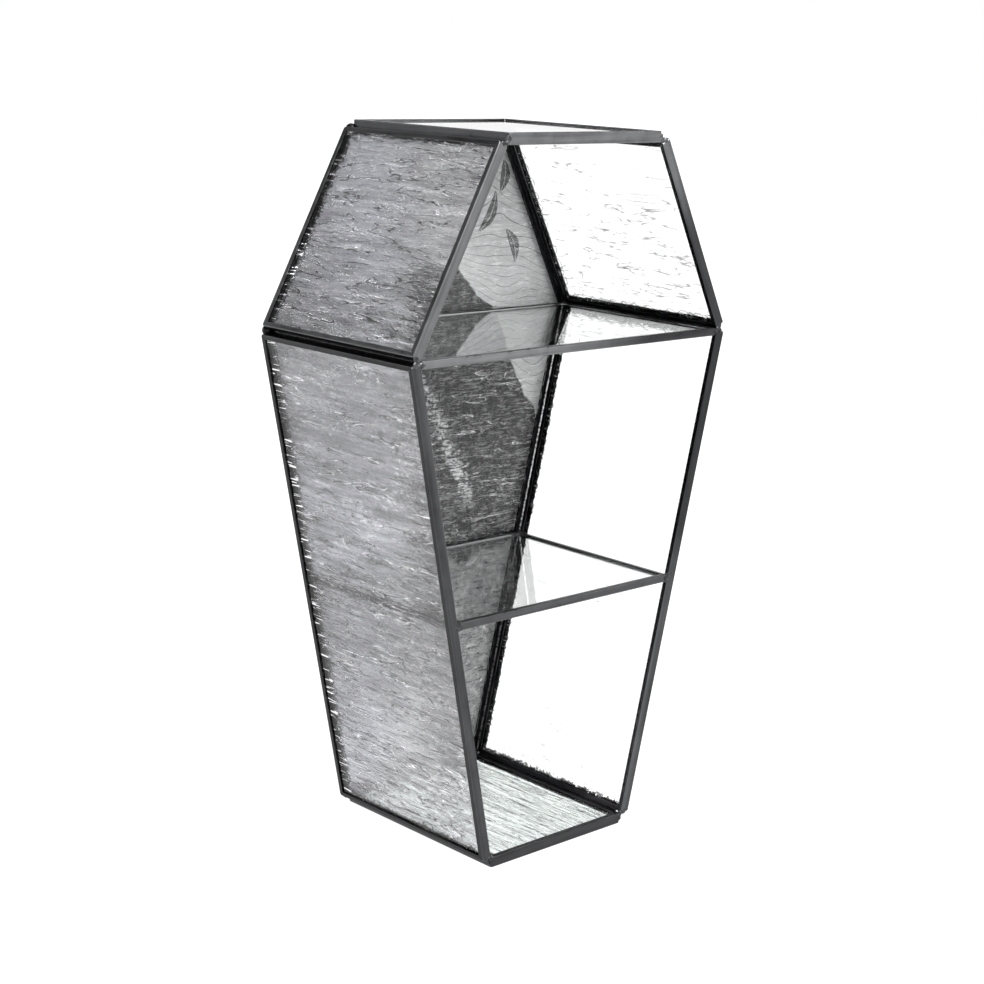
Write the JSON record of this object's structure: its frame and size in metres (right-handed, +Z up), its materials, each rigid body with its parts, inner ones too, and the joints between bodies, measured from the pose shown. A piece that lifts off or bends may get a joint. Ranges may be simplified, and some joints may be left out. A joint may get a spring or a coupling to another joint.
{
  "type": "coffin display case",
  "caption": "Free-standing open-fronted display case shaped like an upright coffin: glass panes in folded metal channel, with glass shelves inside.",
  "frame": {"origin": "centre of the bounding box in X and Y, on the surface that the case stands on", "axes": "+Z up, the open front faces -Y, +X to the right seen from the front"},
  "size_m": [0.1812, 0.1002, 0.3046],
  "materials": {
    "channel": "satin",
    "solder": "satin",
    "textured_glass": "gloss",
    "clear_glass": "gloss",
    "picture": "matte"
  },
  "bodies": {
    "root": {"bottom_frame": "channel", "bottom_pane": "textured_glass", "lower_left_frame": "channel", "lower_left_pane": "textured_glass", "lower_right_frame": "channel", "lower_right_pane": "textured_glass", "upper_left_frame": "channel", "upper_left_pane": "textured_glass", "upper_right_frame": "channel", "upper_right_pane": "textured_glass", "top_frame": "channel", "top_pane": "clear_glass", "back_frame": "channel", "back_pane": "textured_glass", "middle_shelf_frame": "channel", "middle_shelf_pane": "clear_glass", "shoulder_shelf_frame": "channel", "shoulder_shelf_pane": "clear_glass", "back_picture": "picture", "solder_bottom_left_front": "solder", "solder_bottom_left_back": "solder", "solder_bottom_right_front": "solder", "solder_bottom_right_back": "solder", "solder_shoulder_left_front": "solder", "solder_shoulder_left_back": "solder", "solder_shoulder_right_front": "solder", "solder_shoulder_right_back": "solder", "solder_top_left_front": "solder", "solder_top_left_back": "solder", "solder_top_right_front": "solder", "solder_top_right_back": "solder", "solder_shelf_left_front": "solder", "solder_shelf_left_back": "solder", "solder_shelf_right_front": "solder", "solder_shelf_right_back": "solder"}
  },
  "joints": []
}
